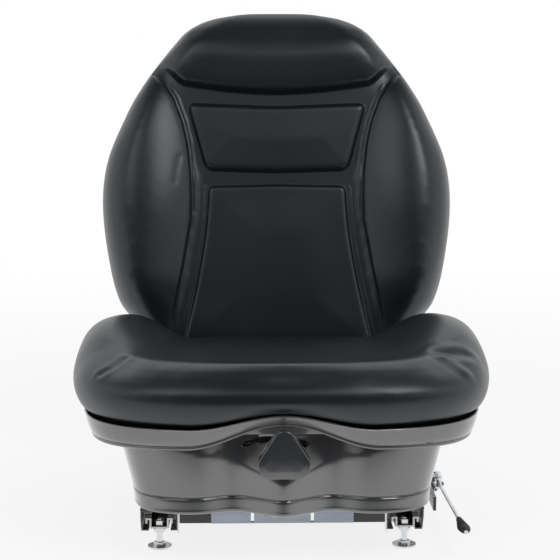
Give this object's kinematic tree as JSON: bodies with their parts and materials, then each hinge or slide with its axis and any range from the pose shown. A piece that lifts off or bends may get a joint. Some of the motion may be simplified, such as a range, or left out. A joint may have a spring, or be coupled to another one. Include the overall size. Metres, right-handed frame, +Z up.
{
  "type": "operator seat",
  "caption": "Suspension seat with moulded black vinyl cushions, a skirted scissor base with a weight lever, and slide rails with a side lever.",
  "frame": {"origin": "on the ground, under the middle of the seat's overall box", "axes": "+Z up, the sitter faces -Y, and the slide lever is on the +X side"},
  "size_m": [0.514, 0.5561, 0.6619],
  "materials": {
    "black_vinyl": "satin grained vinyl",
    "shell_plastic": "matte",
    "pan_plastic": "satin",
    "skirt_plastic": "satin",
    "knob_plastic": "semi-gloss",
    "black_paint": "satin black",
    "bright_zinc": "bright zinc",
    "zinc_steel": "dull zinc",
    "spring_steel": "oiled dark steel",
    "rubber": "matte",
    "nylon": "natural nylon"
  },
  "bodies": {
    "base": {"lower_rail_left": "zinc_steel", "lower_rail_right": "zinc_steel", "mounting_bolts": "bright_zinc", "mounting_nuts": "bright_zinc"},
    "carriage": {"upper_rail_left": "black_paint", "upper_rail_right": "black_paint", "rail_glides": "nylon", "rail_guards": "bright_zinc", "lower_frame": "black_paint", "front_plate": "bright_zinc", "frame_bolts": "bright_zinc", "lower_pivot_shaft": "bright_zinc", "bump_stops": "rubber", "lower_spring_seats": "black_paint", "suspension_springs": "spring_steel", "lever_bracket": "black_paint", "lever_pivot_bolt": "bright_zinc", "lever_spring": "bright_zinc"},
    "slide_lever": {"slide_lever": "bright_zinc", "lever_tip": "rubber"},
    "platform": {"upper_frame": "black_paint", "upper_pivot_shaft": "bright_zinc", "upper_spring_seats": "black_paint", "pan_bolts": "bright_zinc", "weight_bracket": "black_paint", "weight_pivot": "bright_zinc", "seat_pan": "pan_plastic", "skirt": "skirt_plastic", "skirt_side_left": "skirt_plastic", "skirt_side_right": "skirt_plastic", "seat_cushion": "black_vinyl", "back_cushion": "black_vinyl", "back_shell": "shell_plastic", "left_back_bracket": "black_paint", "right_back_bracket": "black_paint", "back_bolts": "bright_zinc"},
    "outer_arms": {"outer_arms": "black_paint", "upper_roller_shaft": "bright_zinc", "scissor_pivots": "bright_zinc"},
    "inner_arms": {"inner_arms": "black_paint", "lower_roller_shaft": "bright_zinc"},
    "upper_rollers": {"upper_rollers": "nylon"},
    "lower_rollers": {"lower_rollers": "nylon"},
    "weight_lever": {"weight_lever": "zinc_steel", "weight_knob": "knob_plastic"}
  },
  "joints": [
    {"name": "slide_travel", "type": "slide", "parent": "base", "child": "carriage", "axis": [0, 1, 0], "range_m": [-0.12, 0.03]},
    {"name": "slide_lever_pivot", "type": "hinge", "parent": "carriage", "child": "slide_lever", "pos_m": [0.209, 0.01, 0.0393], "axis": [0, 0, 1], "range_deg": [0, 8], "stiffness_Nm_per_rad": 2, "springref_deg": -11.46},
    {"name": "suspension_travel", "type": "slide", "parent": "carriage", "child": "platform", "axis": [0, 0, 1], "range_m": [-0.04, 0], "stiffness_N_per_m": 8000, "springref_m": 0.07, "deforming": ["suspension_springs"]},
    {"name": "outer_arm_pivot", "type": "hinge", "parent": "carriage", "child": "outer_arms", "pos_m": [0, 0.11, 0.0651], "axis": [1, 0, 0], "range_deg": [0, 10.3]},
    {"name": "scissor_pivot", "type": "hinge", "parent": "outer_arms", "child": "inner_arms", "pos_m": [0, 0.00061, 0.108], "axis": [1, 0, 0], "range_deg": [-20.6, 0]},
    {"name": "upper_roller_spin", "type": "hinge", "parent": "outer_arms", "child": "upper_rollers", "pos_m": [0, -0.10878, 0.1509], "axis": [1, 0, 0], "continuous": true},
    {"name": "lower_roller_spin", "type": "hinge", "parent": "inner_arms", "child": "lower_rollers", "pos_m": [0, -0.10878, 0.0651], "axis": [1, 0, 0], "continuous": true},
    {"name": "weight_lever_pivot", "type": "hinge", "parent": "platform", "child": "weight_lever", "pos_m": [-0.009, -0.201, 0.0645], "axis": [0, 1, 0], "range_deg": [-29, 18]}
  ],
  "couplings": [
    {"joint": "outer_arm_pivot", "follows": "suspension_travel", "rad_per_m": -4.44},
    {"joint": "scissor_pivot", "follows": "suspension_travel", "rad_per_m": 8.8799}
  ]
}
